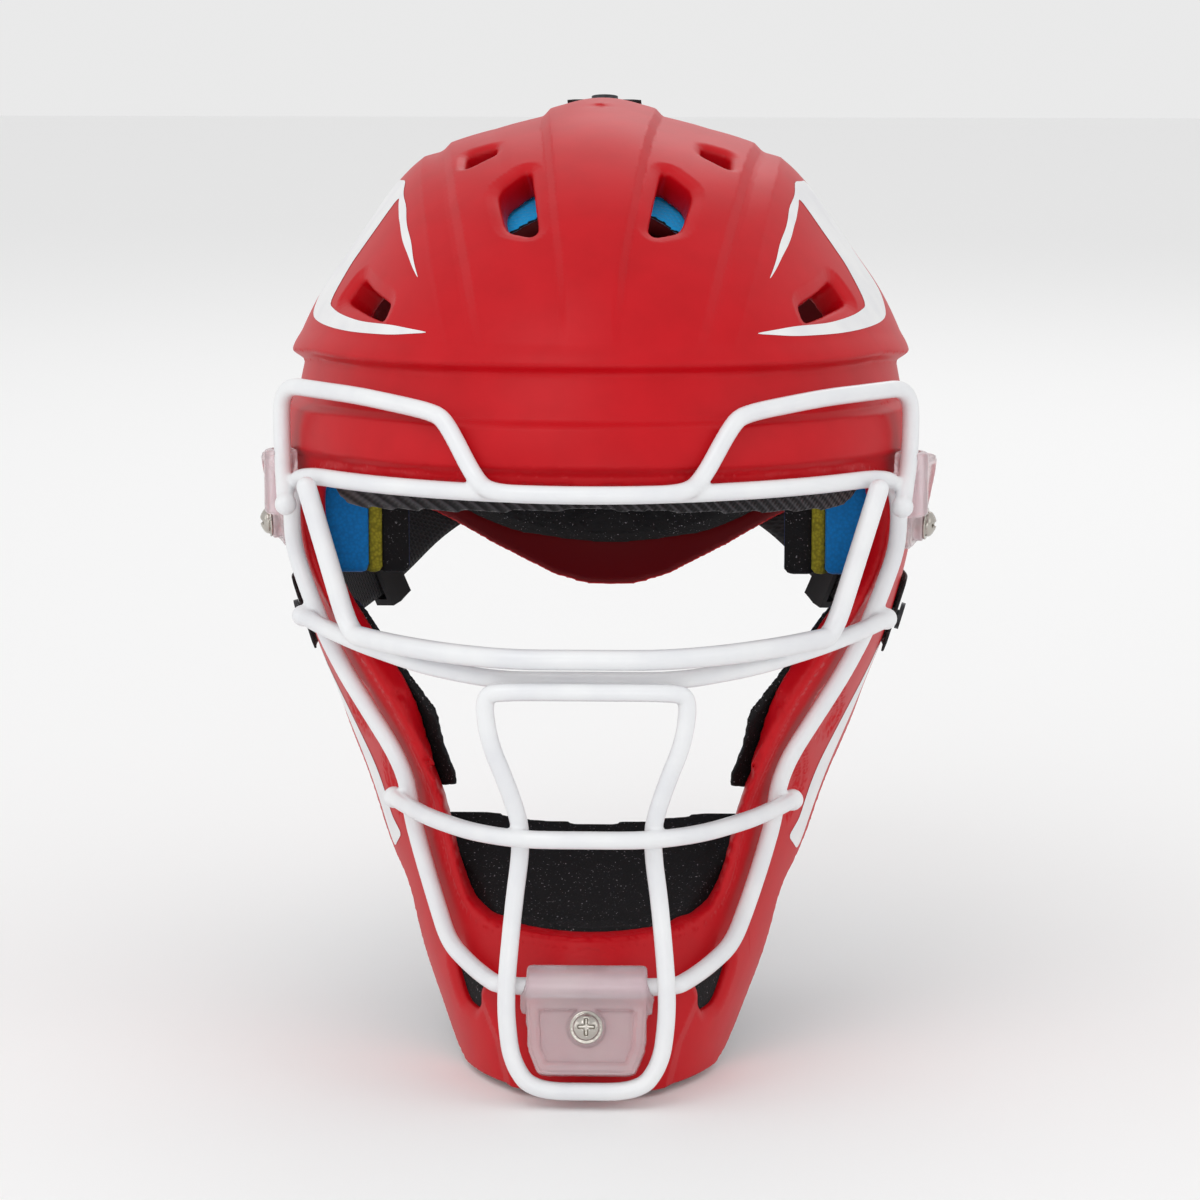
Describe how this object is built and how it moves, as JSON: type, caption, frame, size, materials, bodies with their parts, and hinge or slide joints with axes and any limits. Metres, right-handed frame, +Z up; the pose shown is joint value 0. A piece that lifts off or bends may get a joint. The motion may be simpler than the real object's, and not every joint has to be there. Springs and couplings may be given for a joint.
{
  "type": "sports_helmet",
  "caption": "Baseball catcher helmet with a vented red shell, white stripes, a welded white wire face cage, clear clips, foam pads and a sprung rear plate on elastic straps",
  "frame": {"origin": "centre of the wearer's head at eye level, on the helmet's middle plane", "axes": "+X to the wearer's left (right in the picture), -Y out of the face, +Z up"},
  "size_m": [0.2226, 0.287, 0.2998],
  "materials": {
    "shell_red": "satin",
    "stripe_free_plate": "satin",
    "cage_white": "gloss powder coat",
    "clip_clear": "frosted translucent",
    "steel": "nickel plated",
    "knit_black": "ribbed knit",
    "pad_blue": "brushed knit",
    "foam_yellow": "open foam",
    "foam_black": "speckled foam",
    "webbing": "woven",
    "trim_black": "satin"
  },
  "bodies": {
    "shell": {"front_shell": "shell_red", "cage_perimeter_wire": "cage_white", "cage_upper_loop": "cage_white", "cage_eye_bar": "cage_white", "cage_cheek_bar": "cage_white", "cage_centre_loop": "cage_white", "cage_mouth_bar": "cage_white", "side_clip_right": "clip_clear", "side_clip_left": "clip_clear", "chin_clip": "clip_clear", "side_clip_screws": "steel", "chin_clip_screw": "steel", "side_clip_nuts": "steel", "chin_clip_nut": "steel", "shell_rivets": "steel", "forehead_pad": "knit_black", "crown_pad_right": "pad_blue", "crown_pad_left": "pad_blue", "crown_pad_rear": "pad_blue", "side_pad_blue_right": "pad_blue", "side_pad_blue_left": "pad_blue", "side_pad_yellow_right": "foam_yellow", "side_pad_yellow_left": "foam_yellow", "side_pad_black_right": "foam_black", "side_pad_black_left": "foam_black", "jaw_pad_right": "foam_black", "jaw_pad_left": "foam_black", "chin_pad": "foam_black", "lower_strap_right": "webbing", "lower_strap_left": "webbing", "top_strap": "webbing"},
    "plate": {"rear_plate": "stripe_free_plate", "rear_pad_upper": "foam_black", "rear_pad_lower": "foam_black", "plate_rivets": "steel"},
    "keeper_right": {"lower_keeper_right": "trim_black"},
    "keeper_left": {"lower_keeper_left": "trim_black"}
  },
  "joints": [
    {"name": "plate_tilt", "type": "hinge", "parent": "shell", "child": "plate", "pos_m": [0, 0.09549, 0.10537], "axis": [1, 0, 0], "range_deg": [0, 10], "stiffness_Nm_per_rad": 6, "springref_deg": -4.58, "deforming": ["lower_strap_right", "lower_strap_left", "top_strap"]},
    {"name": "keeper_right_slide", "type": "slide", "parent": "plate", "child": "keeper_right", "axis": [-0.3773, 0.8831, 0.2788], "range_m": [0, 0.006]},
    {"name": "keeper_left_slide", "type": "slide", "parent": "plate", "child": "keeper_left", "axis": [0.3773, 0.8831, 0.2788], "range_m": [0, 0.006]}
  ]
}
